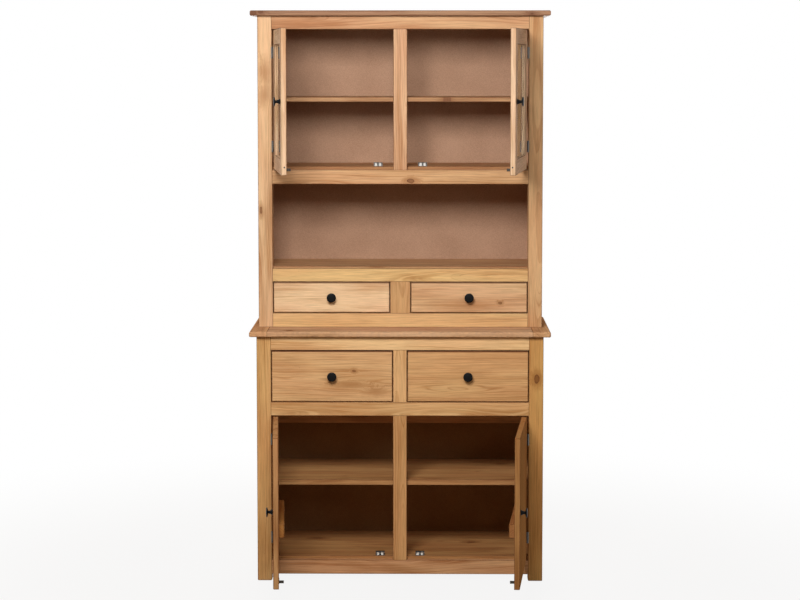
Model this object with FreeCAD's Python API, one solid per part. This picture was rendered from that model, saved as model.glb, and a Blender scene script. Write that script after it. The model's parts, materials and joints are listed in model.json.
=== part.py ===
import FreeCAD, Part
import os

os.makedirs("parts", exist_ok=True)

# Two-part pine dresser, in millimetres: a base with two doors and two drawers, and a hutch on its
# counter with two glazed doors, an open niche and two small drawers.
# X runs to the right, Y to the back and Z up. The origin lies on the floor, in the middle of the
# width, at the front face of the base. The doors are modelled open, as the dresser stands here.

# Overall widths and depths
carcass_width = 954.0
counter_side_overhang = 23.0
counter_depth = 420.0
counter_front_overhang = 20.0
counter_rear_overhang = 4.0
top_side_overhang = 23.0
top_front_overhang = 20.0
hutch_setback = 106.0

# Heights, from the floor up
foot_height = 23.0
base_bottom_rail_height = 48.0
base_door_opening = 488.0
base_middle_rail_height = 46.0
base_drawer_opening = 174.0
base_top_rail_height = 46.0
counter_thickness = 18.0
hutch_bottom_rail_height = 48.0
hutch_drawer_opening = 106.0
hutch_drawer_rail_height = 45.0
niche_opening = 284.0
hutch_middle_rail_height = 48.0
hutch_door_opening = 469.0
hutch_top_rail_height = 44.0
top_thickness = 18.0

# Carcass timber
front_post_width = 48.0
front_post_depth = 44.0
rear_post_depth = 44.0
side_panel_thickness = 18.0
side_panel_recess = 6.0
housing_depth = 8.0
rail_thickness = 19.0
door_stile_width = 46.0
base_drawer_stile_width = 46.0
hutch_drawer_stile_width = 68.0
hardboard_thickness = 4.0
hardboard_margin = 4.0
edge_ease = 1.2
foot_ease = 2.5

# Stub tenons and their mortises
tenon_length = 15.0
tenon_shoulder = 7.0
mortise_slack = 1.0
tenon_thickness_share = 1 / 3

# Rear frames
rear_rail_height = 40.0
rear_rail_thickness = 19.0
stretcher_height = 48.0
stretcher_drop = 41.0

# Boards inside
inner_board_thickness = 18.0
base_stop_height = 10.0
niche_stop_height = 6.0
cupboard_stop_height = 11.0
notch_clearance = 0.5
base_shelf_thickness = 18.0
base_shelf_rise = 240.0
hutch_shelf_thickness = 16.0
hutch_shelf_rise = 216.0
shelf_front_gap = 2.0
shelf_rear_gap = 1.0
shelf_side_gap = 1.0

# Cleats under the loose shelves
cleat_width = 16.0
cleat_height = 20.0
cleat_end_gap = 12.0

# Counter and top board
breadboard_width = 60.0
tongue_length = 12.0
tongue_thickness = 6.0
tongue_stop = 15.0
nosing_radius = 5.0
joint_ease = 1.0

# Drawers and their runners
front_thickness = 18.0
drawer_front_gap = 2.5
drawer_front_bevel = 2.0
drawer_side_clearance = 3.5
drawer_side_thickness = 12.0
base_drawer_side_height = 130.0
hutch_drawer_side_height = 76.0
drawer_back_thickness = 12.0
drawer_rear_clearance = 8.0
drawer_bottom_rise = 8.0
drawer_bottom_housing = 5.0
runner_height = 16.0
runner_bite = 6.5
runner_vertical_clearance = 0.4
runner_end_clearance = 0.5
runner_setback = 3.0
beam_height = 44.0

# Doors
door_thickness = 18.0
door_side_gap = 3.0
door_end_gap = 2.5
door_ease = 1.5
upper_left_open_angle = 82.7
upper_right_open_angle = 82.2
lower_left_open_angle = 86.1
lower_right_open_angle = 84.2
batten_length = 356.0
batten_height = 45.0
batten_thickness = 18.0
batten_ease = 3.0
batten_rise = 160.5
frame_member_width = 50.0
rebate_width = 8.0
rebate_lip = 7.0
glass_thickness = 3.0
glass_edge_clearance = 1.0
bead_ease = 3.0

# Knobs, turned
knob_neck_diameter = 12.0
knob_head_diameter = 32.0
knob_head_thickness = 7.0
knob_height = 22.0
door_knob_inset = 30.0

# Lift-off hinges
hinge_height = 38.0
hinge_end_inset = 76.0
knuckle_radius = 3.5
knuckle_gap = 0.2
knuckle_face_clearance = 1.0
leaf_thickness = 1.2
leaf_reach = 20.5
leaf_knuckle_clearance = 0.4
hinge_pin_diameter = 3.0
hinge_pin_clearance = 0.05

# Double roller catches and their strikes
lower_catch_offset = 67.0
upper_catch_offset = 75.0
catch_width = 30.0
catch_depth = 16.0
catch_height = 13.0
catch_plate_thickness = 1.0
catch_setback = 1.5
roller_diameter = 9.0
roller_gap = 4.6
roller_inset = 7.5
roller_axial_clearance = 0.3
strike_plate_width = 12.0
strike_plate_height = 18.0
strike_plate_lift = 1.0
strike_plate_thickness = 1.2
strike_length = 15.5
strike_height = 9.0
strike_neck_thickness = 2.0
strike_head_thickness = 3.0
strike_head_length = 4.0

# Cuts run past what they cut by this much
overrun = 5.0

Vector = FreeCAD.Vector
UP = Vector(0, 0, 1)


def above(span, height):
    """The span of the given height that starts where another one ends."""
    return (span[1], span[1] + height)


def middle(span):
    """The middle of a span."""
    return (span[0] + span[1]) / 2


def about(centre, size):
    """A span of the given size around its centre."""
    return (centre - size / 2, centre + size / 2)


# Levels of the front frames
base_bottom_rail = (foot_height, foot_height + base_bottom_rail_height)
base_door_gap = above(base_bottom_rail, base_door_opening)
base_middle_rail = above(base_door_gap, base_middle_rail_height)
base_drawer_gap = above(base_middle_rail, base_drawer_opening)
base_top_rail = above(base_drawer_gap, base_top_rail_height)
counter_level = above(base_top_rail, counter_thickness)
hutch_bottom_rail = above(counter_level, hutch_bottom_rail_height)
hutch_drawer_gap = above(hutch_bottom_rail, hutch_drawer_opening)
hutch_drawer_rail = above(hutch_drawer_gap, hutch_drawer_rail_height)
niche_gap = above(hutch_drawer_rail, niche_opening)
hutch_middle_rail = above(niche_gap, hutch_middle_rail_height)
hutch_door_gap = above(hutch_middle_rail, hutch_door_opening)
hutch_top_rail = above(hutch_door_gap, hutch_top_rail_height)
top_level = above(hutch_top_rail, top_thickness)

# Places across the width, on the right-hand side
post_outer = carcass_width / 2
counter_end = post_outer + counter_side_overhang
top_end = post_outer + top_side_overhang
post_inner = post_outer - front_post_width
panel_outer = post_outer - side_panel_recess
panel_inner = panel_outer - side_panel_thickness

# Places along the depth
base_face = 0.0
hutch_face = hutch_setback
counter_back = counter_depth - counter_front_overhang
frame_back = counter_back - counter_rear_overhang - hardboard_thickness
rear_rail_front = frame_back - rear_rail_thickness

# Levels of the boards inside
base_board = (base_bottom_rail[1] + base_stop_height - inner_board_thickness,
              base_bottom_rail[1] + base_stop_height)
niche_board = (hutch_drawer_rail[1] + niche_stop_height - inner_board_thickness,
               hutch_drawer_rail[1] + niche_stop_height)
cupboard_board = (hutch_middle_rail[1] + cupboard_stop_height - inner_board_thickness,
                  hutch_middle_rail[1] + cupboard_stop_height)
base_shelf = (base_board[1] + base_shelf_rise,
              base_board[1] + base_shelf_rise + base_shelf_thickness)
hutch_shelf = (cupboard_board[1] + hutch_shelf_rise,
               cupboard_board[1] + hutch_shelf_rise + hutch_shelf_thickness)


def save(node, solids):
    """Write one node, a list of solids, to its own file."""
    for solid in solids:
        if not solid.isValid() or solid.Volume <= 0:
            print("invalid solid in", node)
    shape = solids[0] if len(solids) == 1 else Part.makeCompound(solids)
    shape.exportStep(os.path.join("parts", node + ".step"))
    print("%-32s %2d solids" % (node, len(solids)))


def block(x, y, z):
    """A plain block between three spans."""
    return Part.makeBox(x[1] - x[0], y[1] - y[0], z[1] - z[0], Vector(x[0], y[0], z[0]))


def mirrored(solid):
    """The same piece for the other side of the dresser."""
    return solid.mirror(Vector(0, 0, 0), Vector(1, 0, 0))


def both_sides(solids):
    """Each piece and its mirror image."""
    return [copy for solid in solids for copy in (solid, mirrored(solid))]


def edges_where(shape, test):
    """The edges of a shape whose bounding box passes a test."""
    return [edge for edge in shape.Edges if test(edge.BoundBox)]


def eased(shape, axis, size=edge_ease):
    """Take the arrises off the straight edges that run the whole way along an axis."""
    lengths = {"x": "XLength", "y": "YLength", "z": "ZLength"}
    whole = getattr(shape.BoundBox, lengths[axis])
    others = [name for name in lengths.values() if name != lengths[axis]]

    def runs_along(box):
        return getattr(box, lengths[axis]) > whole / 2 and all(
            getattr(box, name) < size / 2 for name in others)

    return shape.makeChamfer(size, edges_where(shape, runs_along))


class Member:
    """A board with a stub tenon at both ends, and the pockets that its neighbours need for it."""

    def __init__(self, x, y, z, axis, shown=True):
        solid = eased(block(x, y, z), axis) if shown else block(x, y, z)
        cheek = about(middle(y), (y[1] - y[0]) * tenon_thickness_share)
        self.pockets = []
        for end, direction in ((0, -1), (1, 1)):
            if axis == "x":
                broad = (z[0] + tenon_shoulder, z[1] - tenon_shoulder)
                solid = solid.fuse(block(self.reach(x[end], direction, tenon_length), cheek, broad))
                pocket = self.reach(x[end], direction, tenon_length + mortise_slack)
                self.pockets.append(block(pocket, cheek, broad))
            else:
                broad = (x[0] + tenon_shoulder, x[1] - tenon_shoulder)
                solid = solid.fuse(block(broad, cheek, self.reach(z[end], direction, tenon_length)))
                pocket = self.reach(z[end], direction, tenon_length + mortise_slack)
                self.pockets.append(block(broad, cheek, pocket))
        self.solid = solid

    @staticmethod
    def reach(start, direction, length):
        """The span that a tenon takes beyond its shoulder."""
        return tuple(sorted((start, start + direction * length)))

    def mortised(self, stiles):
        """This board with the mortises of the members that stand on or hang under it."""
        solid = self.solid
        for stile in stiles:
            for pocket in stile.pockets:
                solid = solid.cut(pocket)
        return solid


def front_rail(face, level):
    """A rail of a front frame, from post to post."""
    return Member((-post_inner, post_inner), (face, face + rail_thickness), level, "x")


def front_stile(face, level, width):
    """An upright in the middle of a front frame, between two rails."""
    return Member(about(0, width), (face, face + rail_thickness), level, "z")


def rear_rail(level):
    """A rail between the rear posts."""
    return Member((-panel_inner, panel_inner), (rear_rail_front, frame_back), level, "x", False)


def rear_stile(level, width):
    """An upright between two rear rails, which carries the beam between the drawers."""
    return Member(about(0, width), (rear_rail_front, frame_back), level, "z", False)


def front_post(face, level, panel_start, rails, eased_foot):
    """A right-hand front post with its mortises and the housing of the side panel."""
    y = (face, face + front_post_depth)
    post = block((post_inner, post_outer), y, level)
    if eased_foot:
        post = post.makeChamfer(foot_ease, edges_where(
            post, lambda box: box.ZMax < level[0] + edge_ease / 2))
    post = eased(post, "z")
    for rail in rails:
        post = post.cut(rail.pockets[1])
    housing = block((panel_inner, panel_outer), (y[1] - housing_depth, y[1] + overrun),
                    (panel_start, level[1] + overrun))
    return post.cut(housing)


def rear_post(level, panel_start, rails):
    """A right-hand rear post with its mortises and the rebate of the side panel."""
    y = (frame_back - rear_post_depth, frame_back)
    post = eased(block((panel_inner, post_outer), y, level), "z")
    for rail in rails:
        post = post.cut(rail.pockets[1])
    rebate = block((panel_inner - overrun, panel_outer), (y[0] - overrun, y[0] + housing_depth),
                   (panel_start, level[1] + overrun))
    return post.cut(rebate)


def side_panel(face, level):
    """A right-hand side panel, housed in both posts."""
    y = (face + front_post_depth - housing_depth, frame_back - rear_post_depth + housing_depth)
    return block((panel_inner, panel_outer), y, level)


def shelf_cleat(face, shelf):
    """The strip on the right-hand side panel that carries a shelf."""
    y = (face + front_post_depth + cleat_end_gap, frame_back - cleat_end_gap)
    return eased(block((panel_inner - cleat_width, panel_inner), y,
                       (shelf[0] - cleat_height, shelf[0])), "y")


def notched_board(x_half, y, level, face, clearance):
    """A board inside the carcass, notched round the two front posts, with an eased front edge."""
    board = block((-x_half, x_half), y, level)
    board = board.makeChamfer(edge_ease, edges_where(
        board, lambda box: box.XLength > x_half and box.YMax < middle(y)))
    notch = block((post_inner - clearance, x_half + overrun),
                  (y[0] - overrun, face + front_post_depth + clearance),
                  (level[0] - overrun, level[1] + overrun))
    return board.cut(notch).cut(mirrored(notch))


def fixed_board(face, level):
    """A board fixed behind a front rail, whose raised front edge stops the doors."""
    return notched_board(panel_inner, (face + rail_thickness, frame_back), level, face,
                         notch_clearance)


def loose_shelf(face, level):
    """A shelf that lies on two cleats, just behind the front frame."""
    return notched_board(panel_inner - shelf_side_gap,
                         (face + rail_thickness + shelf_front_gap, frame_back - shelf_rear_gap),
                         level, face, shelf_side_gap)


def back_panel(level):
    """A hardboard back, pinned to the rear frame."""
    x_half = post_outer - hardboard_margin
    return block((-x_half, x_half), (frame_back, frame_back + hardboard_thickness), level)


def nosed(slab, y, level, ends):
    """Round the front edges of a slab, and those of the ends that are named."""
    radius = min(nosing_radius, (level[1] - level[0]) / 2 - edge_ease)

    def outer(box):
        front = box.YMax < y[0] + radius
        side = any(abs(box.XMin - end) < radius and abs(box.XMax - end) < radius for end in ends)
        return box.ZLength < radius and (front or side)

    return slab.makeFillet(radius, edges_where(slab, outer))


def counter_tongue(slack):
    """The tongue at the right-hand end of the counter board, or the groove that takes it."""
    start = counter_end - breadboard_width
    return block((start - (0 if slack else overrun), start + tongue_length + slack),
                 (-counter_front_overhang + tongue_stop - slack, counter_back - tongue_stop + slack),
                 about(middle(counter_level), tongue_thickness))


def counter_pieces():
    """The counter board and its two breadboard ends."""
    y = (-counter_front_overhang, counter_back)
    joint = counter_end - breadboard_width
    board = nosed(block((-joint, joint), y, counter_level), y, counter_level, ())
    tongue = counter_tongue(0)
    board = ease_joint(board, joint, -1).fuse(tongue).fuse(mirrored(tongue))
    end = nosed(block((joint, counter_end), y, counter_level), y, counter_level, (counter_end,))
    end = ease_joint(end, joint, 1).cut(counter_tongue(mortise_slack))
    return board, [end, mirrored(end)]


def ease_joint(slab, joint, side):
    """Take the arris off the upper edges where the counter board meets its ends."""
    corners = [(0, 0), (side * joint_ease, 0), (0, -joint_ease)]
    points = [Vector(joint + x, -counter_front_overhang - overrun, counter_level[1] + z)
              for x, z in corners]
    wedge = Part.Face(Part.makePolygon(points + points[:1])).extrude(
        Vector(0, counter_depth + overrun * 2, 0))
    slab = slab.cut(wedge)
    return slab.cut(mirrored(wedge)) if side < 0 else slab


def top_board():
    """The board on top of the hutch."""
    y = (hutch_face - top_front_overhang, counter_back)
    return nosed(block((-top_end, top_end), y, top_level), y, top_level, (-top_end, top_end))


def turned_knob(x, face, z):
    """A turned knob whose neck stands on a front at the given face."""
    neck, head = knob_neck_diameter / 2, knob_head_diameter / 2
    underside = knob_height - knob_head_thickness
    outline = [Vector(0, 0, 0), Vector(neck, 0, 0), Vector(neck, -underside, 0),
               Vector(head, -underside, 0), Vector(head, -knob_height, 0), Vector(0, -knob_height, 0)]
    profile = Part.Face(Part.makePolygon(outline + outline[:1]))
    knob = profile.revolve(Vector(0, 0, 0), Vector(0, 1, 0), 360)
    knob.translate(Vector(x, face, z))
    return knob


class Hinge:
    """A right-hand lift-off hinge, shut: a leaf with the pin on the post, and a bored one on the door."""

    def __init__(self, face, z):
        self.x = post_inner - door_side_gap / 2
        self.y = face - knuckle_radius - knuckle_face_clearance
        self.level = about(z, hinge_height)
        half_gap = door_side_gap / 2
        lower = (self.level[0], z - knuckle_gap / 2)
        upper = (z + knuckle_gap / 2, self.level[1])
        post_side = self.leaf((half_gap - leaf_thickness, half_gap), lower)
        self.post_leaf = post_side.fuse(self.rod(hinge_pin_diameter, self.level)).removeSplitter()
        door_side = self.leaf((-half_gap, leaf_thickness - half_gap), upper)
        bore_level = (upper[0] - overrun, upper[1] + overrun)
        bore = self.rod(hinge_pin_diameter + hinge_pin_clearance * 2, bore_level)
        self.door_leaf = door_side.cut(bore).removeSplitter()

    def rod(self, diameter, level):
        """A round rod on the axis of the hinge."""
        return Part.makeCylinder(diameter / 2, level[1] - level[0], Vector(self.x, self.y, level[0]))

    def leaf(self, x, knuckle):
        """One leaf, as high as the hinge, with its knuckle."""
        x = (self.x + x[0], self.x + x[1])
        start = self.y + knuckle_radius + leaf_knuckle_clearance
        plate = block(x, (start, self.y + leaf_reach), self.level)
        tab = block(x, (self.y, start + leaf_thickness), knuckle)
        return plate.fuse(tab).fuse(self.rod(knuckle_radius * 2, knuckle))


class Catch:
    """A right-hand double roller catch on a board, and its strike on the shut door."""

    def __init__(self, face, board_top, offset):
        self.x = offset
        self.z = board_top
        self.front = face + rail_thickness + catch_setback
        self.inner_face = face + door_thickness

    def frame(self):
        """A channel of folded plate, open to the front, that holds both rollers."""
        x = about(self.x, catch_width)
        y = (self.front, self.front + catch_depth)
        level = (self.z, self.z + catch_height)
        inner = (level[0] + catch_plate_thickness, level[1] - catch_plate_thickness)
        return block(x, y, level).cut(block(
            (x[0] - overrun, x[1] + overrun), (y[0] - overrun, y[1] - catch_plate_thickness), inner))

    def rollers(self):
        """The two rollers, which leave a gap between them for the strike."""
        bottom = self.z + catch_plate_thickness + roller_axial_clearance
        height = catch_height - (catch_plate_thickness + roller_axial_clearance) * 2
        reach = (roller_gap + roller_diameter) / 2
        return [Part.makeCylinder(roller_diameter / 2, height,
                                  Vector(place, self.front + roller_inset, bottom))
                for place in (self.x - reach, self.x + reach)]

    def strike(self):
        """A plate on the inner face of the door with an arrow-shaped tongue."""
        z = self.z + catch_height / 2
        back = self.inner_face + strike_plate_thickness
        foot = self.z + strike_plate_lift
        plate = eased(block(about(self.x, strike_plate_width), (self.inner_face, back),
                            (foot, foot + strike_plate_height)), "y", strike_plate_thickness)
        neck, head = strike_neck_thickness / 2, strike_head_thickness / 2
        tip = self.inner_face + strike_length
        barb = tip - strike_head_length
        half = [(neck, self.inner_face), (neck, barb - (head - neck)), (head, barb), (neck / 2, tip)]
        outline = half + [(-x, y) for x, y in reversed(half)]
        points = [Vector(self.x + x, y, z - strike_height / 2) for x, y in outline]
        tongue = Part.Face(Part.makePolygon(points + points[:1])).extrude(UP * strike_height)
        return plate.fuse(tongue).removeSplitter()


class Door:
    """A door, built shut on the right-hand side, with the hinges and catch that it meets."""

    def __init__(self, name, side, face, gap, board_top, catch_offset, open_angle):
        self.name = name
        self.side = side
        self.face = face
        self.x = (door_stile_width / 2 + door_side_gap, post_inner - door_side_gap)
        self.y = (face, face + door_thickness)
        self.level = (gap[0] + door_end_gap, gap[1] - door_end_gap)
        self.open_angle = open_angle
        self.hinges = [Hinge(face, self.level[0] + hinge_end_inset),
                       Hinge(face, self.level[1] - hinge_end_inset)]
        self.catch = Catch(face, board_top, catch_offset)

    def placed(self, solids):
        """Open the given pieces about the hinge pins, and take them to their side."""
        centre = Vector(self.hinges[0].x, self.hinges[0].y, 0)
        result = []
        for solid in solids:
            turned = solid.copy()
            turned.rotate(centre, UP, self.open_angle)
            result.append(turned if self.side > 0 else mirrored(turned))
        return result

    def on_side(self, solids):
        """Take fixed pieces to the side of this door."""
        return solids if self.side > 0 else [mirrored(solid) for solid in solids]

    def save_fittings(self):
        """The knob, the strike and the door's leaves of its two hinges."""
        knob = turned_knob(self.x[0] + door_knob_inset, self.face, middle(self.level))
        save(self.name + "_knob", self.placed([knob]))
        save(self.name + "_strike", self.placed([self.catch.strike()]))
        save(self.name + "_hinge_leaves", self.placed([hinge.door_leaf for hinge in self.hinges]))


class PanelDoor(Door):
    """A solid door with a batten across its inner face."""

    def save_all(self):
        """Write every piece of the door."""
        panel = block(self.x, self.y, self.level)
        panel = panel.makeChamfer(door_ease, edges_where(
            panel, lambda box: box.YMax < middle(self.y)))
        batten = block(about(middle(self.x), batten_length), above(self.y, batten_thickness),
                       (self.level[0] + batten_rise, self.level[0] + batten_rise + batten_height))
        batten = batten.makeChamfer(batten_ease, edges_where(
            batten, lambda box: box.YMin > self.y[1] + batten_thickness / 2))
        save(self.name + "_panel", self.placed([panel]))
        save(self.name + "_batten", self.placed([batten]))
        self.save_fittings()


class GlassDoor(Door):
    """A framed door with one pane, held in a rebate by beads on the inner side."""

    def save_all(self):
        """Write every piece of the door."""
        sight_x = (self.x[0] + frame_member_width, self.x[1] - frame_member_width)
        sight_z = (self.level[0] + frame_member_width, self.level[1] - frame_member_width)
        glass_y = (self.face + rebate_lip, self.face + rebate_lip + glass_thickness)
        rebate_x = (sight_x[0] - rebate_width, sight_x[1] + rebate_width)
        rebate_z = (sight_z[0] - rebate_width, sight_z[1] + rebate_width)
        rebate = block(rebate_x, (glass_y[0], self.y[1] + overrun), rebate_z)
        rails = [Member(sight_x, self.y, (self.level[0], sight_z[0]), "x"),
                 Member(sight_x, self.y, (sight_z[1], self.level[1]), "x")]
        stiles = []
        for x in ((self.x[0], sight_x[0]), (sight_x[1], self.x[1])):
            stile = eased(block(x, self.y, self.level), "z", door_ease)
            for rail in rails:
                for pocket in rail.pockets:
                    stile = stile.cut(pocket)
            stiles.append(stile.cut(rebate))
        bead_y = (glass_y[1], self.y[1])
        upright_beads = [self.bead(block(x, bead_y, rebate_z), "z", middle(sight_x))
                         for x in ((rebate_x[0], sight_x[0]), (sight_x[1], rebate_x[1]))]
        level_beads = [self.bead(block(sight_x, bead_y, z), "x", middle(sight_z))
                       for z in ((rebate_z[0], sight_z[0]), (sight_z[1], rebate_z[1]))]
        pane = block((rebate_x[0] + glass_edge_clearance, rebate_x[1] - glass_edge_clearance), glass_y,
                     (rebate_z[0] + glass_edge_clearance, rebate_z[1] - glass_edge_clearance))
        save(self.name + "_stiles", self.placed(stiles + upright_beads))
        save(self.name + "_rails", self.placed([rail.solid.cut(rebate) for rail in rails]
                                               + level_beads))
        save(self.name + "_glass", self.placed([pane]))
        self.save_fittings()

    def bead(self, solid, axis, inside):
        """A glazing bead, bevelled on its edge towards the middle of the pane."""

        def inner_edge(box):
            place = box.XMin if axis == "z" else box.ZMin
            low, high = ((solid.BoundBox.XMin, solid.BoundBox.XMax) if axis == "z"
                         else (solid.BoundBox.ZMin, solid.BoundBox.ZMax))
            nearest = high if middle((low, high)) < inside else low
            long_edge = box.ZLength if axis == "z" else box.XLength
            return (abs(place - nearest) < edge_ease and box.YMin > self.y[1] - edge_ease
                    and long_edge > frame_member_width)

        return solid.makeChamfer(bead_ease, edges_where(solid, inner_edge))


class DrawerBay:
    """A pair of drawers side by side, with the runners that carry them."""

    def __init__(self, name, face, gap, stile_width, side_height):
        self.name = name
        self.face = face
        self.gap = gap
        self.stile_half = stile_width / 2
        self.side_height = side_height
        self.centre = middle(gap)
        self.back = face + front_thickness

    def runners(self):
        """The beam between the drawers, the packing at the sides and the four grooved-in runners."""
        beam_level = about(self.centre, beam_height)
        beam = block((-self.stile_half, self.stile_half),
                     (self.face + rail_thickness, rear_rail_front), beam_level)
        packing = block((post_inner, panel_inner), (self.face + front_post_depth, rear_rail_front),
                        beam_level)
        reach = drawer_side_clearance + runner_bite
        y = (self.back + runner_setback, rear_rail_front)
        level = about(self.centre, runner_height)
        inner = block((self.stile_half, self.stile_half + reach), y, level)
        outer = block((post_inner - reach, post_inner), y, level)
        return [beam] + both_sides([packing, inner, outer])

    def front(self):
        """The right-hand drawer front, bevelled along its four front edges."""
        board = block((self.stile_half + drawer_front_gap, post_inner - drawer_front_gap),
                      (self.face, self.back),
                      (self.gap[0] + drawer_front_gap, self.gap[1] - drawer_front_gap))
        return board.makeChamfer(drawer_front_bevel, edges_where(
            board, lambda box: box.YMax < self.face + edge_ease / 2))

    def box(self):
        """The right-hand drawer box: two grooved sides, the back and the bottom."""
        x = (self.stile_half + drawer_side_clearance, post_inner - drawer_side_clearance)
        y = (self.back, rear_rail_front - drawer_rear_clearance)
        level = about(self.centre, self.side_height)
        bottom_level = (level[0] + drawer_bottom_rise,
                        level[0] + drawer_bottom_rise + hardboard_thickness)
        inside = (x[0] + drawer_side_thickness, x[1] - drawer_side_thickness)
        bottom = block((inside[0] - drawer_bottom_housing, inside[1] + drawer_bottom_housing), y,
                       bottom_level)
        groove_level = about(self.centre, runner_height + runner_vertical_clearance * 2)
        depth = runner_bite + runner_end_clearance
        sides = []
        for outer, inner, direction in ((x[0], inside[0], 1), (x[1], inside[1], -1)):
            side = block(tuple(sorted((outer, inner))), y, level)
            groove_x = tuple(sorted((outer - direction * overrun, outer + direction * depth)))
            groove = block(groove_x, (y[0] - overrun, y[1] + overrun), groove_level)
            sides.append(side.cut(groove).cut(bottom))
        back = block(inside, (y[1] - drawer_back_thickness, y[1]), (bottom_level[1], level[1]))
        return sides + [back, bottom]

    def save_all(self):
        """Write the runners, and the front, the box and the knob of both drawers."""
        save(self.name + "_drawer_runners", self.runners())
        knob_x = middle((self.stile_half, post_inner))
        for side_name, place in (("left", mirrored), ("right", lambda solid: solid)):
            drawer = "%s_drawer_%s" % (self.name, side_name)
            save(drawer + "_front", [place(self.front())])
            save(drawer + "_box", [place(solid) for solid in self.box()])
            save(drawer + "_knob", [place(turned_knob(knob_x, self.face, self.centre))])


def save_base_carcass():
    """The frame, boards and back of the base."""
    level = (0.0, base_top_rail[1])
    rails = [front_rail(base_face, span)
             for span in (base_bottom_rail, base_middle_rail, base_top_rail)]
    stiles = [front_stile(base_face, base_door_gap, door_stile_width),
              front_stile(base_face, base_drawer_gap, base_drawer_stile_width)]
    post = front_post(base_face, level, foot_height, rails, True)
    save("base_front_posts", both_sides([post]))
    save("base_front_rails", [rail.mortised(stiles) for rail in rails])
    save("base_centre_stiles", [stile.solid for stile in stiles])
    panel = side_panel(base_face, (foot_height, level[1]))
    save("base_side_panels", both_sides([panel]))
    stretcher_top = base_middle_rail[0] - stretcher_drop
    rear_levels = [(base_board[0] - rear_rail_height, base_board[0]),
                   (stretcher_top - stretcher_height, stretcher_top),
                   (level[1] - rear_rail_height, level[1])]
    save("base_rear_frame", rear_frame(level, foot_height, rear_levels, 1, base_drawer_stile_width))
    save("base_bottom_board", [fixed_board(base_face, base_board)])
    save("base_shelf", [loose_shelf(base_face, base_shelf)])
    save("base_back_panel", [back_panel((foot_height, level[1]))])


def rear_frame(level, panel_start, rail_levels, lower, width):
    """Rear posts and rails, and the upright between the rail named by its index and the next."""
    rails = [rear_rail(span) for span in rail_levels]
    stile = rear_stile((rail_levels[lower][1], rail_levels[lower + 1][0]), width)
    post = rear_post(level, panel_start, rails)
    return both_sides([post]) + [rail.mortised([stile]) for rail in rails] + [stile.solid]


def save_hutch_carcass():
    """The frame, boards and back of the hutch."""
    level = (counter_level[1], hutch_top_rail[1])
    rails = [front_rail(hutch_face, span)
             for span in (hutch_bottom_rail, hutch_drawer_rail, hutch_middle_rail, hutch_top_rail)]
    stiles = [front_stile(hutch_face, hutch_door_gap, door_stile_width),
              front_stile(hutch_face, hutch_drawer_gap, hutch_drawer_stile_width)]
    post = front_post(hutch_face, level, level[0] - overrun, rails, False)
    save("hutch_front_posts", both_sides([post]))
    save("hutch_front_rails", [rail.mortised(stiles) for rail in rails])
    save("hutch_centre_stiles", [stile.solid for stile in stiles])
    save("hutch_side_panels", both_sides([side_panel(hutch_face, level)]))
    rear_levels = [(level[0], level[0] + rear_rail_height),
                   (niche_board[0] - rear_rail_height, niche_board[0]),
                   (cupboard_board[0] - rear_rail_height, cupboard_board[0]),
                   (level[1] - rear_rail_height, level[1])]
    save("hutch_rear_frame",
         rear_frame(level, level[0] - overrun, rear_levels, 0, hutch_drawer_stile_width))
    save("hutch_niche_board", [fixed_board(hutch_face, niche_board)])
    save("hutch_cupboard_floor", [fixed_board(hutch_face, cupboard_board)])
    save("hutch_shelf", [loose_shelf(hutch_face, hutch_shelf)])
    save("hutch_back_panel", [back_panel(level)])


def save_doors():
    """The four doors, and the parts of their hinges and catches that stay on the carcass."""
    lower = (base_face, base_door_gap, base_board[1], lower_catch_offset)
    upper = (hutch_face, hutch_door_gap, cupboard_board[1], upper_catch_offset)
    doors = [PanelDoor("base_door_left", -1, *lower, lower_left_open_angle),
             PanelDoor("base_door_right", 1, *lower, lower_right_open_angle),
             GlassDoor("hutch_door_left", -1, *upper, upper_left_open_angle),
             GlassDoor("hutch_door_right", 1, *upper, upper_right_open_angle)]
    leaves, frames, rollers = [], [], []
    for door in doors:
        door.save_all()
        leaves += door.on_side([hinge.post_leaf for hinge in door.hinges])
        frames += door.on_side([door.catch.frame()])
        rollers += door.on_side(door.catch.rollers())
    save("hinge_post_leaves", leaves)
    save("roller_catch_frames", frames)
    save("roller_catch_rollers", rollers)


save_base_carcass()
counter, counter_ends = counter_pieces()
save("counter_board", [counter])
save("counter_ends", counter_ends)
save_hutch_carcass()
save("top_board", [top_board()])
save("shelf_cleats", both_sides([shelf_cleat(base_face, base_shelf),
                                 shelf_cleat(hutch_face, hutch_shelf)]))
save_doors()
base_bay = DrawerBay("base", base_face, base_drawer_gap, base_drawer_stile_width,
                     base_drawer_side_height)
hutch_bay = DrawerBay("hutch", hutch_face, hutch_drawer_gap, hutch_drawer_stile_width,
                      hutch_drawer_side_height)
for bay in (base_bay, hutch_bay):
    bay.save_all()
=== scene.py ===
"""Looks of a two-part pine dresser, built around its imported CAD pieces. Lengths are in metres."""

import json
import logging
import math
import random
from collections.abc import Iterable, Sequence
from dataclasses import dataclass, field, replace
from enum import Enum

import bmesh
import bpy
from mathutils import Matrix, Vector


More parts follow.
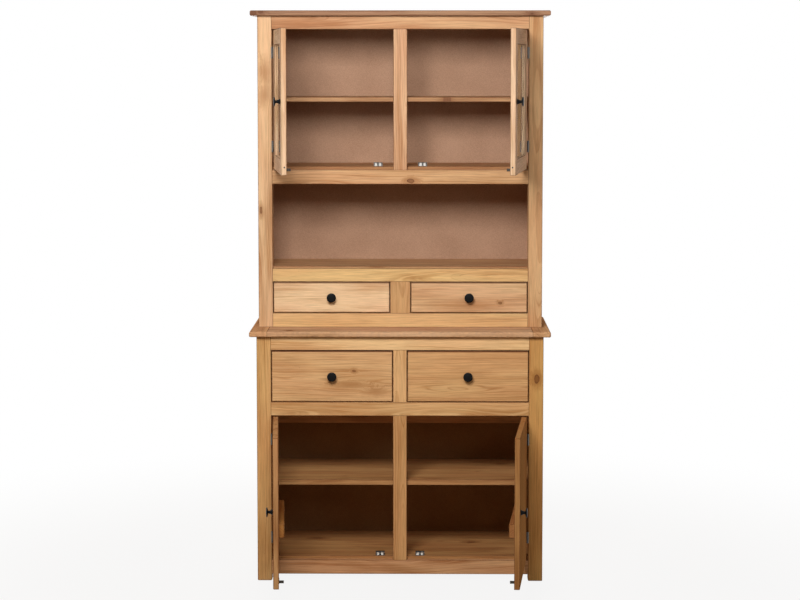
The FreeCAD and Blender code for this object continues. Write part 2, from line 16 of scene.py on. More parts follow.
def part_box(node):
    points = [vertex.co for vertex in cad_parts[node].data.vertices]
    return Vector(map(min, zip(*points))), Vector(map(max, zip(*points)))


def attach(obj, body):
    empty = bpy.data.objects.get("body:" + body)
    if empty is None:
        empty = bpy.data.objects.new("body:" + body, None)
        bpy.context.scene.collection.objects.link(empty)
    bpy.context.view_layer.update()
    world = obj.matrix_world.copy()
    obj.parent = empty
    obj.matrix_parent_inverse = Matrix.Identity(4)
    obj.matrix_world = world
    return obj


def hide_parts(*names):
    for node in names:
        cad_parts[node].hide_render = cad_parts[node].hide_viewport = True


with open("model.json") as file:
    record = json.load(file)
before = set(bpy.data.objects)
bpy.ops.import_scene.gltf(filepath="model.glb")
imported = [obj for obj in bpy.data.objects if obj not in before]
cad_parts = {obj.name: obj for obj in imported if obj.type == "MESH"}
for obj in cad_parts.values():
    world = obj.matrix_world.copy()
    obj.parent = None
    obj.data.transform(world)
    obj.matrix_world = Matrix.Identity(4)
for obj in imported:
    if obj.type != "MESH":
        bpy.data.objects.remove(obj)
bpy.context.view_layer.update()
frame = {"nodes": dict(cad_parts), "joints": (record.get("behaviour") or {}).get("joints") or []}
log = logging.getLogger("dresser")

Colour = tuple[float, float, float]
Place = tuple[float, float, float]
Pair = tuple[float, float]
Socket = bpy.types.NodeSocket
Node = bpy.types.Node
Tree = bpy.types.NodeTree
Material = bpy.types.Material
Shape = bmesh.types.BMesh

WHITE: Colour = (1.0, 1.0, 1.0)
UP, BACKWARD = Vector((0, 0, 1)), Vector((0, 1, 0))
SQUARE = Matrix.Identity(4)  # For boards that stand square to the dresser


# ---- Node trees ----


class Graph:
    """A node tree with short calls for adding and joining its nodes."""

    def __init__(self, tree: Tree) -> None:
        """Args: tree, the node tree to fill."""
        self.tree = tree

    def fill(self, node: Node, inputs: dict[int | str, object]) -> Node:
        """Joins a node's inputs to other sockets, or sets them to constants.

        Args:
            node: the node.
            inputs: sockets and constants, by the inputs' numbers or names. A colour may leave
                out its alpha.

        Returns:
            The node.
        """
        for label, value in inputs.items():
            socket = node.inputs[label]
            if isinstance(value, Socket):
                self.tree.links.new(value, socket)
            elif socket.type == "RGBA" and len(value) == 3:
                socket.default_value = (*value, 1.0)
            else:
                socket.default_value = value
        return node

    def add(self, kind: str, inputs: dict[int | str, object] | None = None,
            **settings: object) -> Node:
        """Adds a node.

        Args:
            kind: the node's type name.
            inputs: what its inputs are filled with.
            settings: properties to set on it.

        Returns:
            The new node.
        """
        node = self.tree.nodes.new(kind)
        for name, value in settings.items():
            setattr(node, name, value)
        return self.fill(node, inputs or {})

    def group(self, group: Tree, **values: object) -> Node:
        """Args: group, what to add; values, its inputs, with _ for spaces. Returns: its node."""
        node = self.add("ShaderNodeGroup", node_tree=group)
        return self.fill(node, {key.replace("_", " "): value for key, value in values.items()})

    def sums(self, operation: str, *values: object, clamp: bool = False) -> Socket:
        """Args: operation, values, a Math node's; clamp, to 0..1. Returns: the result."""
        return self.add("ShaderNodeMath", dict(enumerate(values)), operation=operation,
                        use_clamp=clamp).outputs[0]

    def times(self, first: object, second: object) -> Socket:
        """Args: first, second, numbers. Returns: their product."""
        return self.sums("MULTIPLY", first, second)

    def centred(self, value: object) -> Socket:
        """Args: value, a number from 0 to 1. Returns: it, from -0.5 to 0.5."""
        return self.sums("SUBTRACT", value, 0.5)

    def vector(self, operation: str, *values: object) -> Socket:
        """Args: operation, of a Vector Math node; values, its inputs. Returns: the result."""
        node = self.add("ShaderNodeVectorMath", dict(enumerate(values)), operation=operation)
        return node.outputs["Value" if operation == "LENGTH" else "Vector"]

    def split(self, value: object) -> list[Socket]:
        """Args: value, a vector. Returns: its X, Y and Z."""
        return list(self.add("ShaderNodeSeparateXYZ", {0: value}).outputs)

    def join(self, x: object, y: object, z: object) -> Socket:
        """Args: x, y, z, numbers. Returns: the vector that they make."""
        return self.add("ShaderNodeCombineXYZ", {0: x, 1: y, 2: z}).outputs[0]

    def span(self, value: object, start: object, end: object, low: object = 0.0,
             high: object = 1.0) -> Socket:
        """Args: value, mapped smoothly from start..end to low..high. Returns: the result."""
        inputs = {"Value": value, "From Min": start, "From Max": end, "To Min": low,
                  "To Max": high}
        return self.add("ShaderNodeMapRange", inputs,
                        interpolation_type="SMOOTHSTEP").outputs["Result"]

    def noise(self, place: object, often: Place, detail: float = 2.0, roughness: float = 0.5,
              output: str = "Fac") -> Socket:
        """Adds noise that is stretched along the axes.

        Args:
            place: the coordinates.
            often: how often it varies in each metre, by axis.
            detail: how many octaves it has.
            roughness: how strong the finer ones are.
            output: Fac for one number or Color for three.

        Returns:
            The noise.
        """
        inputs = {"Vector": self.vector("MULTIPLY", place, often), "Scale": 1.0,
                  "Detail": detail, "Roughness": roughness}
        return self.add("ShaderNodeTexNoise", inputs).outputs[output]

    def tint(self, share: object, low: object, high: object, blend: str = "MIX") -> Socket:
        """Args: share, of high; low, high, colours; blend, how they mix. Returns: the mix."""
        return self.add("ShaderNodeMix", {0: share, 6: low, 7: high}, data_type="RGBA",
                        blend_type=blend, clamp_factor=True).outputs[2]

    def shaded(self, colour: object, by: object) -> Socket:
        """Args: colour, any; by, a colour or vector. Returns: their product."""
        return self.tint(1.0, colour, by, "MULTIPLY")

    def ramp(self, value: object, stops: Sequence[Pair]) -> Socket:
        """Args: value, a number; stops, places and greys. Returns: the grey at that number."""
        node = self.add("ShaderNodeValToRGB", {0: value})
        band = node.color_ramp
        while len(band.elements) < len(stops):
            band.elements.new(0.5)
        for element, (place, grey) in zip(band.elements, stops):
            element.position = place
            element.color = (grey, grey, grey, 1.0)
        return node.outputs[0]

    def attribute(self, name: str) -> Socket:
        """Args: name, a mesh attribute's name. Returns: its vector."""
        return self.add("ShaderNodeAttribute", attribute_name=name).outputs["Vector"]

    def object_place(self) -> Socket:
        """Returns: the place on the object."""
        return self.add("ShaderNodeTexCoord").outputs["Object"]

    def relief(self, height: Socket, strength: float, distance: float) -> Socket:
        """Args: height, from 0 to 1; strength, distance, the bumps'. Returns: their normal."""
        inputs = {"Strength": strength, "Distance": distance, "Height": height}
        return self.add("ShaderNodeBump", inputs).outputs["Normal"]

    def seen(self) -> Socket:
        """Returns: 1 for rays that come straight, mirrored or through glass to the camera."""
        rays = self.add("ShaderNodeLightPath").outputs
        return self.sums("MAXIMUM", rays["Is Camera Ray"], self.sums(
            "MAXIMUM", rays["Is Glossy Ray"], rays["Is Transmission Ray"]))


class GroupGraph(Graph):
    """A shader node group with named inputs and outputs."""

    def __init__(self, name: str, inputs: dict[str, str], outputs: dict[str, str]) -> None:
        """Makes the group's sockets.

        Args:
            name: the group's name.
            inputs: each input's type: Float, Vector or Color.
            outputs: each output's type.
        """
        super().__init__(bpy.data.node_groups.new(name, "ShaderNodeTree"))
        for direction, sockets in (("INPUT", inputs), ("OUTPUT", outputs)):
            for label, kind in sockets.items():
                self.tree.interface.new_socket(name=label, in_out=direction,
                                               socket_type="NodeSocket" + kind)
        self.given = self.add("NodeGroupInput").outputs

    def finish(self, **results: object) -> Tree:
        """Args: results, what fills the outputs. Returns: the finished group."""
        self.add("NodeGroupOutput", results)
        return self.tree


def new_material(name: str) -> tuple[Material, Graph, Node]:
    """Args: name, the material's name. Returns: it, its graph and its surface shader."""
    material = bpy.data.materials.new(name)
    material.use_nodes = True
    return material, Graph(material.node_tree), material.node_tree.nodes["Principled BSDF"]


# ---- Shared effects ----

FAR = 9.0  # In a knot's radii, so far away that it doesn't show

# How often the noises of the grain vary in each metre: across, into and along the board
WANDER, RIPPLE, CALM = (3.0, 3.0, 1.1), (26.0, 26.0, 4.5), (0.6, 0.6, 0.5)
FIBRE, TONE, HUE = (620.0, 620.0, 16.0), (15.0, 15.0, 3.2), (13.0, 13.0, 2.4)
FIGURE, FLECK = (55.0, 55.0, 3.6), (170.0, 170.0, 5.5)

# How far the pith wanders and ripples
WANDER_REACH, RIPPLE_REACH = (0.055, 0.055, 0.0), (0.006, 0.006, 0.0)

# One ring, from pale early growth to dark late growth and back
RING_STOPS = ((0.0, 0.06), (0.45, 0.16), (0.84, 1.0), (0.93, 0.55), (1.0, 0.06))

# Cells that may hold a knot, in each metre, how a knot is stretched in them, and its radii
CELLS_ACROSS, CELLS_ALONG, KNOT_STRETCH = 8.0, 2.3, (0.125, 0.3, 0.0)
LARGEST_KNOT, SMALLEST_KNOT = 0.0085, 0.0003

# How far a knot pushes the rings aside, and what redder bands are multiplied by
RING_PUSH, REDDER = 0.009, (0.97, 0.9, 0.9)


def pine_grain() -> Tree:
    """Growth rings, fibres and knots of a board whose grain runs along Z.

    Returns:
        The group.
    """
    g = GroupGraph("pine_grain", {
        "Board": "Vector", "Placed Knot": "Float", "Ring Width": "Float", "Ring Depth": "Float",
        "Knot Share": "Float", "Early": "Color", "Late": "Color", "Knot Colour": "Color"},
        {"Color": "Color", "Roughness": "Float", "Height": "Float"})
    board, late, dark = (g.given[name] for name in ("Board", "Late", "Knot Colour"))

    # The pith wanders slowly along the log
    log_place = board
    for often, reach in ((WANDER, WANDER_REACH), (RIPPLE, RIPPLE_REACH)):
        push = g.vector("SUBTRACT", g.noise(board, often, output="Color"), (0.5, 0.5, 0.5))
        log_place = g.vector("ADD", log_place, g.vector("MULTIPLY", push, reach))
    across, deep, _ = g.split(log_place)

    # Knots in the plane of the board's face, few of them grown
    x, _, z = g.split(board)
    cells = g.join(g.times(x, CELLS_ACROSS), g.times(z, CELLS_ALONG), 0.0)
    spots = g.add("ShaderNodeTexVoronoi", {"Vector": cells, "Scale": 1.0, "Randomness": 0.85},
                  voronoi_dimensions="2D", feature="F1").outputs
    to_knot = g.vector("SUBTRACT", cells, spots["Position"])
    to_knot = g.vector("LENGTH", g.vector("MULTIPLY", to_knot, KNOT_STRETCH))
    threshold = g.sums("SUBTRACT", 1.0, g.given["Knot Share"])
    radius = g.span(g.split(spots["Color"])[0], threshold, 1.0, 0.0, LARGEST_KNOT)
    near = g.sums("DIVIDE", to_knot, g.sums("MAXIMUM", radius, SMALLEST_KNOT))
    near = g.sums("MINIMUM", near, g.given["Placed Knot"])
    knot, halo = g.span(near, 1.08, 0.86), g.span(near, 3.4, 0.9)

    # Rings, pushed aside by the knots
    r = g.vector("LENGTH", g.join(across, deep, 0.0))
    r = g.sums("SUBTRACT", r, g.times(halo, RING_PUSH))
    uneven = g.add("ShaderNodeTexNoise", {"W": g.times(r, 60.0)}, noise_dimensions="1D")
    phase = g.sums("ADD", g.sums("DIVIDE", r, g.given["Ring Width"]),
                   g.times(uneven.outputs["Fac"], 2.4))
    ring = g.ramp(g.sums("FRACT", phase), RING_STOPS)

    # How much late growth shows: rings, broad bands of tone and figure
    fibre = g.noise(board, FIBRE, 3.0, 0.6)
    figure = g.noise(log_place, FIGURE, 3.0, 0.6)
    shift = g.sums("ADD", g.times(g.centred(g.noise(board, TONE)), 2.4),
                   g.times(g.centred(figure), 1.8))
    shift = g.times(shift, g.span(g.noise(board, CALM, 1.0), 0.35, 0.65, 0.45, 1.25))
    depth = g.times(ring, g.given["Ring Depth"])
    share = g.sums("ADD", g.sums("ADD", depth, 0.04), shift, clamp=True)
    colour = g.tint(share, g.given["Early"], late)

    # Redder bands, fibres and pitch flecks
    colour = g.tint(g.span(g.noise(board, HUE), 0.36, 0.64), colour, g.shaded(colour, REDDER))
    streak = g.span(fibre, 0.3, 0.7, 0.84, 1.1)
    colour = g.shaded(colour, g.join(streak, streak, streak))
    fleck = g.span(g.noise(board, FLECK), 0.7, 0.78)
    colour = g.tint(g.times(fleck, 0.38), colour, late)

    # Knots with a stained surround, a core of rings and a dark rim
    colour = g.tint(g.times(halo, 0.8), colour, g.tint(0.16, late, dark))
    rim = g.times(knot, g.span(near, 0.55, 0.98))
    knot_ring = g.sums("SINE", g.times(near, 16.0))
    core = g.tint(g.span(knot_ring, -1.0, 1.0, 0.0, 0.45), g.tint(0.55, dark, late), dark)
    colour = g.tint(g.times(rim, 0.85), g.tint(knot, colour, core), dark)

    height = g.sums("ADD", g.times(ring, 0.45), g.times(fibre, 0.55))
    return g.finish(Color=colour,
                    Roughness=g.span(g.sums("ADD", ring, fibre), 0.3, 1.6, 0.6, 0.48),
                    Height=g.sums("SUBTRACT", height, g.times(rim, 0.5)))


def glued_staves() -> Tree:
    """Cuts a wide board into glued staves, each with its own place in the log.

    Returns:
        The group.
    """
    g = GroupGraph("glued_staves", {"Board": "Vector", "Stave Width": "Float"},
                   {"Board": "Vector", "Tone": "Float", "Seam": "Float"})
    x, y, z = g.split(g.given["Board"])
    width = g.given["Stave Width"]
    number = g.sums("DIVIDE", x, width)
    chance = g.add("ShaderNodeTexWhiteNoise", {"W": g.sums("ADD", g.sums("FLOOR", number), 0.5)},
                   noise_dimensions="1D").outputs
    first, second, third = g.split(chance["Color"])
    inside = g.times(g.centred(g.sums("FRACT", number)), width)
    moved = g.join(g.sums("ADD", inside, g.times(g.centred(first), 0.09)),
                   g.sums("ADD", y, g.times(second, 0.03)),
                   g.sums("ADD", z, g.times(third, 9.0)))
    edge = g.sums("ABSOLUTE", g.sums("DIVIDE", inside, width))
    return g.finish(Board=moved, Tone=g.span(chance["Value"], 0.0, 1.0, 0.91, 1.06),
                    Seam=g.span(edge, 0.494, 0.4985))


def worn_arrises() -> Tree:
    """A mask of a board's arrises, from its rim and half-size attributes. Mask lightens the
    arrises, as wear and as painted highlight; Line darkens a thin band along every arris, as dark
    joints and as painted shade in the gaps between parts.

    Returns:
        The group.
    """
    g = GroupGraph("worn_arrises", {"Rim": "Vector", "Half": "Vector", "Reach": "Float"},
                   {"Mask": "Float", "Line": "Float"})
    rim, half = g.given["Rim"], g.given["Half"]
    away = g.vector("SUBTRACT", (1.0, 1.0, 1.0), g.vector("ABSOLUTE", rim))
    a, b, c = g.split(g.vector("MULTIPLY", away, half))
    nearest_two = g.sums("MINIMUM", g.sums("MAXIMUM", a, b), c)
    second = g.sums("MAXIMUM", g.sums("MINIMUM", a, b), nearest_two)
    rough = g.noise(g.vector("MULTIPLY", rim, half), (90.0, 90.0, 90.0), 3.0)
    worn = g.span(second, g.given["Reach"], 0.0006)
    # Mask: wear and painted highlight on the arrises. Line: dark joints and painted shade in the
    # gaps.
    return g.finish(Mask=g.times(worn, g.span(rough, 0.25, 0.7)),
                    Line=g.span(second, 0.0024, 0.0009))


def placed_knot() -> Tree:
    """How far a point is from one knot, in that knot's radii, or from a nearer one.

    Returns:
        The group.
    """
    g = GroupGraph("placed_knot", {
        "Place": "Vector", "Centre": "Vector", "Radii": "Vector", "Softness": "Float",
        "Nearest": "Float"}, {"Nearest": "Float"})
    away = g.vector("SUBTRACT", g.given["Place"], g.given["Centre"])
    wobble = g.noise(g.given["Place"], (70.0, 70.0, 70.0))
    near = g.vector("LENGTH", g.vector("DIVIDE", away, g.given["Radii"]))
    near = g.sums("ADD", g.times(near, g.span(wobble, 0.2, 0.8, 0.85, 1.2)),
                  g.given["Softness"])
    return g.finish(Nearest=g.sums("MINIMUM", near, g.given["Nearest"]))


def fine_mottle() -> Tree:
    """Fine even speckle and slow cloudiness, for board, paint, metal and nylon.

    Returns:
        The group.
    """
    g = GroupGraph("fine_mottle", {"Place": "Vector", "Size": "Float"},
                   {"Speckle": "Float", "Cloud": "Float"})
    size = g.given["Size"]
    scaled = g.vector("DIVIDE", g.given["Place"], g.join(size, size, size))
    return g.finish(Speckle=g.noise(scaled, (1.0, 1.0, 1.0), 4.0, 0.65),
                    Cloud=g.noise(scaled, (0.02, 0.02, 0.02), 3.0))


class Effects:
    """The node groups that several finishes use."""

    def __init__(self) -> None:
        """Builds each group once."""
        self.grain, self.staves, self.worn = pine_grain(), glued_staves(), worn_arrises()
        self.knot, self.mottle = placed_knot(), fine_mottle()


# ---- Finishes ----


@dataclass(frozen=True)
class GrownKnot:
    """A knot, or a soft reddish patch, by its place on the dresser as it stands."""

    centre: Place
    radii: Place
    softness: float = 0.0


@dataclass(frozen=True)
class PineFinish:
    """Waxed pine of one tone, solid or glued up from staves."""

    name: str
    early: Colour
    late: Colour
    knot: Colour = (0.13, 0.042, 0.016)
    ring_width: float = 0.0055
    ring_depth: float = 0.62
    knot_share: float = 0.1
    stave_width: float = 0.0
    knots: tuple[GrownKnot, ...] = ()
    # line: dark joints and painted gap shade along the arrises; worn and its gain and reach:
    # arrises lightened as wear and as painted highlight
    line: float = 0.75
    gloss: float = 0.16
    worn: float = 0.35
    wear_and_highlight_gain: float = 1.22
    wear_and_highlight_reach: float = 0.0035
    # painted_top_shade: painted shade along the top arris, where the part above shades the board
    painted_top_shade: float = 0.0
    seam: float = 0.45
    relief: float = 0.22
    relief_height: float = 0.0004

    def material(self, effects: Effects) -> Material:
        """Args: effects, the shared groups. Returns: the material."""
        material, g, shader = new_material(self.name)
        board, place, near = g.attribute("board"), g.object_place(), FAR
        rim, half = g.attribute("rim"), g.attribute("half")
        cut = None
        if self.stave_width:
            cut = g.group(effects.staves, Board=board, Stave_Width=self.stave_width).outputs
            board = cut["Board"]
        for knot in self.knots:
            near = g.group(effects.knot, Place=place, Centre=knot.centre, Radii=knot.radii,
                           Softness=knot.softness, Nearest=near).outputs["Nearest"]
        grain = g.group(effects.grain, Board=board, Placed_Knot=near,
                        Ring_Width=self.ring_width, Ring_Depth=self.ring_depth,
                        Knot_Share=self.knot_share, Early=self.early, Late=self.late,
                        Knot_Colour=self.knot).outputs
        colour = g.shaded(grain["Color"], g.attribute("pale"))
        if cut:
            colour = g.shaded(colour, g.join(cut["Tone"], cut["Tone"], cut["Tone"]))
            colour = g.tint(g.times(cut["Seam"], self.seam), colour, self.knot)
        # Arrises lightened as wear and painted highlight, then a thin dark line as dark joints and
        # painted shade
        worn = g.group(effects.worn, Rim=rim, Half=half, Reach=self.wear_and_highlight_reach).outputs
        rubbed_and_highlit = tuple(min(1.0, part * self.wear_and_highlight_gain) for part in self.early)
        colour = g.tint(g.times(worn["Mask"], self.worn), colour, rubbed_and_highlit)
        colour = g.tint(g.times(worn["Line"], self.line), colour, self.knot)
        # Painted shade: a dark band along the top arris, where the rail above shades a drawer front
        if self.painted_top_shade:
            below = g.times(g.sums("SUBTRACT", 1.0, g.split(rim)[2]), g.split(half)[2])
            top_shade = g.span(below, 0.0046, 0.0024, 0.0, self.painted_top_shade)
            colour = g.tint(top_shade, colour, self.knot)
        g.fill(shader, {
            "Base Color": colour, "Roughness": grain["Roughness"],
            "Specular IOR Level": self.gloss,
            "Normal": g.relief(grain["Height"], self.relief, self.relief_height)})
        return material


@dataclass(frozen=True)
class SpeckledFinish:
    """A plain finish with fine speckle: hardboard, paint, metal or nylon."""

    name: str
    light: Colour
    dark: Colour
    roughness: float
    speckle_size: float
    metallic: float = 0.0
    contrast: float = 1.0
    bump: float = 0.1
    specular: float = 0.5
    # outside: the outer face's colour, from outside_from in Y; the darker colours then stay on the
    # inner face as painted shade
    outside: Colour | None = None
    outside_from: float = 0.3942
    outside_fade: float = 0.0005
    bump_height: float = 0.0003

    def material(self, effects: Effects) -> Material:
        """Args: effects, the shared groups. Returns: the material."""
        material, g, shader = new_material(self.name)
        place = g.object_place()
        mottle = g.group(effects.mottle, Place=place, Size=self.speckle_size).outputs
        speckle, cloud = mottle["Speckle"], mottle["Cloud"]
        share = g.sums("ADD", g.times(speckle, 0.72), g.times(cloud, 0.28))
        share = g.span(share, 0.5 - 0.25 / self.contrast, 0.5 + 0.25 / self.contrast)
        colour = g.tint(share, self.dark, self.light)
        # The inner face keeps the darker colours as painted shade; the outer face takes the outside
        # colour
        if self.outside:
            outer = g.tint(share, tuple(part * 0.7 for part in self.outside), self.outside)
            depth = g.span(g.split(place)[1], self.outside_from,
                           self.outside_from + self.outside_fade)
            colour = g.tint(depth, colour, outer)
        rough = g.span(speckle, 0.2, 0.8, self.roughness * 0.85,
                       min(1.0, self.roughness * 1.15))
        g.fill(shader, {
            "Base Color": colour, "Roughness": rough, "Metallic": self.metallic,
            "Specular IOR Level": self.specular,
            "Normal": g.relief(speckle, self.bump, self.bump_height)})
        return material


@dataclass(frozen=True)
class GlassFinish:
    """Clear window glass with a slight green tint."""

    name: str = "window_glass"
    tint: Colour = (0.93, 0.975, 0.955)

    def material(self, effects: Effects) -> Material:
        """Args: effects, the shared groups. Returns: the material."""
        material, g, shader = new_material(self.name)
        cloud = g.group(effects.mottle, Place=g.object_place(), Size=0.003).outputs["Cloud"]
        dusty = tuple(part * 0.985 for part in self.tint)
        g.fill(shader, {
            "Base Color": g.tint(cloud, self.tint, dusty),
            "Roughness": g.span(cloud, 0.3, 0.8, 0.0, 0.035),
            "Transmission Weight": 1.0, "IOR": 1.45})
        return material


HUTCH_KNOTS = (
    GrownKnot((-0.4676, 0.106, 1.2389), (0.0042, 0.03, 0.013)),
    GrownKnot((-0.4549, 0.106, 1.7008), (0.019, 0.02, 0.034), 1.1),
    GrownKnot((-0.456, 0.106, 1.623), (0.017, 0.02, 0.03), 1.1),
    GrownKnot((0.036, 0.106, 1.3367), (0.013, 0.03, 0.0075)),
    GrownKnot((0.3358, 0.106, 0.9257), (0.0065, 0.02, 0.0045)),
)
TOP_KNOTS = (
    GrownKnot((-0.488, 0.083, 1.896), (0.012, 0.03, 0.007)),
    GrownKnot((-0.464, 0.083, 1.9), (0.009, 0.03, 0.005)),
    GrownKnot((0.437, 0.083, 1.894), (0.014, 0.03, 0.006), 0.6),
)
DOOR_KNOTS = (GrownKnot((-0.379, -0.2955, 1.56), (0.01, 0.012, 0.022), 0.85),)
BASE_KNOTS = (
    GrownKnot((-0.08, 0.0, 0.642), (0.034, 0.02, 0.012), 1.1),
    GrownKnot((-0.168, 0.0, 0.664), (0.05, 0.02, 0.0085), 1.3),
    GrownKnot((-0.1528, 0.0, 0.7098), (0.006, 0.02, 0.004)),
    GrownKnot((0.4555, 0.0, 0.6839), (0.0085, 0.03, 0.015)),
    GrownKnot((-0.2886, 0.275, 0.081), (0.018, 0.007, 0.02)),
    GrownKnot((0.2434, 0.22, 0.081), (0.016, 0.008, 0.02)),
    GrownKnot((0.3476, 0.3, 0.339), (0.016, 0.008, 0.02)),
)


class Timber(Enum):
    """The pine finishes, by where the boards stand."""

    HUTCH = PineFinish("hutch_pine", (0.7, 0.435, 0.225), (0.46, 0.225, 0.09),
                       knots=HUTCH_KNOTS)
    # The upper drawer fronts carry painted shade along their top edges
    HUTCH_FRONT = replace(HUTCH, name="hutch_drawer_pine", knots=HUTCH_KNOTS[4:], painted_top_shade=0.5)
    HUTCH_GLUED = PineFinish("hutch_glued_pine", (0.5, 0.29, 0.14), (0.31, 0.142, 0.058),
                             stave_width=0.092, knot_share=0.3)
    # Paler and less orange than the other hutch pine: the extra paleness is painted sheen for white
    # reflected at a grazing angle
    HUTCH_DOOR = PineFinish("hutch_door_pine", (0.7, 0.485, 0.305), (0.49, 0.28, 0.142),
                            gloss=0.03, knots=DOOR_KNOTS)
    TOP = PineFinish("top_board_pine", (0.43, 0.245, 0.135), (0.22, 0.098, 0.048),
                     stave_width=0.092, ring_depth=0.9, knots=TOP_KNOTS)
    BASE = PineFinish("base_pine", (0.66, 0.375, 0.165), (0.41, 0.18, 0.058), knots=BASE_KNOTS)
    # The lower drawer fronts carry painted shade along their top edges
    BASE_FRONT = replace(BASE, name="base_drawer_pine", knots=BASE_KNOTS[:3], painted_top_shade=0.9)
    # Darker than the base pine: the glued panels' own tone, deepened as painted shade for lower
    # doors that get little light
    BASE_DOOR = PineFinish("base_door_pine", (0.47, 0.245, 0.1), (0.27, 0.108, 0.036),
                           stave_width=0.1, knot_share=0.3, gloss=0.0)
    BASE_GLUED = PineFinish("base_glued_pine", (0.51, 0.268, 0.102), (0.305, 0.126, 0.039),
                            stave_width=0.096, knot_share=0.3, knots=BASE_KNOTS[4:])
    # The counter's front edge is lightened over 14 mm, as wear and as painted highlight of the lit
    # edge
    COUNTER = PineFinish("counter_pine", (0.58, 0.335, 0.168), (0.35, 0.165, 0.064),
                         stave_width=0.084, knot_share=0.26, gloss=0.0, worn=0.5,
                         wear_and_highlight_gain=1.5, wear_and_highlight_reach=0.014)
    RAW = PineFinish("unwaxed_pine", (0.72, 0.5, 0.28), (0.54, 0.32, 0.15), ring_depth=0.5)


class Plain(Enum):
    """The finishes without grain."""

    HARDBOARD = SpeckledFinish("brown_hardboard", (0.485, 0.297, 0.195), (0.352, 0.204, 0.128),
                               0.7, 0.0024, contrast=1.5, bump=0.25, specular=0.08)
    # The base's back is the same hardboard, painted darker on its inner face as painted shade
    DARK_BOARD = SpeckledFinish("dark_hardboard", (0.33, 0.18, 0.078), (0.23, 0.12, 0.05),
                                0.72, 0.0024, contrast=1.5, bump=0.25, specular=0.06,
                                outside=(0.485, 0.297, 0.195))
    KNOB = SpeckledFinish("black_knob_paint", (0.004, 0.0039, 0.0042), (0.0015, 0.0014, 0.0015),
                          0.42, 0.0016, bump=0.05, specular=0.09)
    # Darker than fresh zinc plating: the dull plating, darkened further as painted shade for hinges
    # that stand in shade
    HINGE = SpeckledFinish("zinc_plated_steel", (0.17, 0.165, 0.155), (0.07, 0.067, 0.062),
                           0.33, 0.0009, metallic=1.0)
    SCREW = SpeckledFinish("screw_steel", (0.66, 0.64, 0.6), (0.48, 0.46, 0.42),
                           0.28, 0.0006, metallic=1.0)
    # Painted shade: the dark colour of the cross recesses
    RECESS = SpeckledFinish("screw_recess", (0.05, 0.048, 0.045), (0.02, 0.02, 0.018), 0.6, 0.0006)
    CATCH = SpeckledFinish("bronzed_steel", (0.06, 0.05, 0.04), (0.025, 0.02, 0.016),
                           0.4, 0.0009, metallic=0.6)
    NYLON = SpeckledFinish("white_nylon", (0.84, 0.83, 0.79), (0.76, 0.75, 0.7), 0.42, 0.0012,
                           bump=0.04)
    GLASS = GlassFinish()


# ---- Boards ----


def separate_solids(mesh: bpy.types.Mesh) -> list[set[int]]:
    """Finds the solids of a CAD mesh, whose triangles are loose, by their common edges.

    Args:
        mesh: the mesh.

    Returns:
        The vertex numbers of each solid.
    """
    leader = list(range(len(mesh.polygons)))

    def first(face: int) -> int:
        """Args: face, a triangle. Returns: the one that stands for its solid."""
        while leader[face] != face:
            leader[face] = leader[leader[face]]
            face = leader[face]
        return face

    seen: dict[frozenset, int] = {}
    for face in mesh.polygons:
        corners = [tuple(mesh.vertices[number].co) for number in face.vertices]
        for pair in zip(corners, corners[1:] + corners[:1]):
            other = seen.setdefault(frozenset(pair), face.index)
            leader[first(face.index)] = first(other)
    groups: dict[int, set[int]] = {}
    for face in mesh.polygons:
        groups.setdefault(first(face.index), set()).update(face.vertices)
    return list(groups.values())


SLACK = 0.001  # How far outside a board a place may be that names it

# Boards that differ from the rest, each by a place on it, how pale it is and its share of blue.
# Most are the boards' own tones; the posts, the right lower door's panel and the lower doors'
# battens are set darker or paler as painted shade and light.
BOARD_TONES_AND_SHADE: tuple[tuple[Place, float, float], ...] = (
    ((-0.24, 0.107, 0.945), 1.22, 1.0), ((0.24, 0.107, 0.945), 1.06, 1.0),
    ((0.0, 0.001, 0.8), 1.28, 0.95), ((0.0, 0.107, 0.944), 0.88, 0.92),
    ((0.0, 0.107, 1.018), 1.08, 0.8), ((0.0, 0.107, 0.87), 1.12, 0.84),
    ((0.0, -0.015, 0.834), 1.14, 1.08), ((0.0, 0.001, 0.31), 0.95, 0.94),
    ((0.0, 0.001, 0.05), 0.95, 1.12), ((0.0, 0.107, 1.874), 0.9, 1.05),
    ((-0.45, 0.001, 0.4), 1.06, 0.86), ((0.45, 0.001, 0.4), 0.94, 0.75),
    ((0.45, 0.107, 1.4), 1.0, 0.96), ((-0.45, 0.107, 1.4), 1.07, 1.02),
    ((0.0, 0.107, 1.6), 0.95, 1.12), ((0.0, 0.001, 0.6), 1.16, 0.92),
    ((0.0, 0.25, 1.38), 0.8, 1.0),
    ((-0.24, 0.001, 0.7), 1.1, 1.0), ((0.24, 0.001, 0.7), 1.09, 0.95),
    ((-0.2, 0.027, 0.2565), 0.76, 0.8), ((0.2, 0.027, 0.2565), 0.84, 1.0),
    ((0.2, 0.009, 0.3), 0.92, 0.9),
)


def board_tone(low: Vector, high: Vector, chance: random.Random) -> Colour:
    """Chooses how pale one board is. Paler boards are also less orange.

    Args:
        low: the board's lowest corner, in its place.
        high: its highest corner.
        chance: its source of random numbers.

    Returns:
        What to multiply its colour by.
    """
    tone, blue = chance.uniform(0.95, 1.05), 1.0
    for place, pale, share in BOARD_TONES_AND_SHADE:
        if all(low[axis] - SLACK <= place[axis] <= high[axis] + SLACK for axis in range(3)):
            tone, blue = pale, share
    return (tone, tone ** 1.6, tone ** 2.2 * blue)


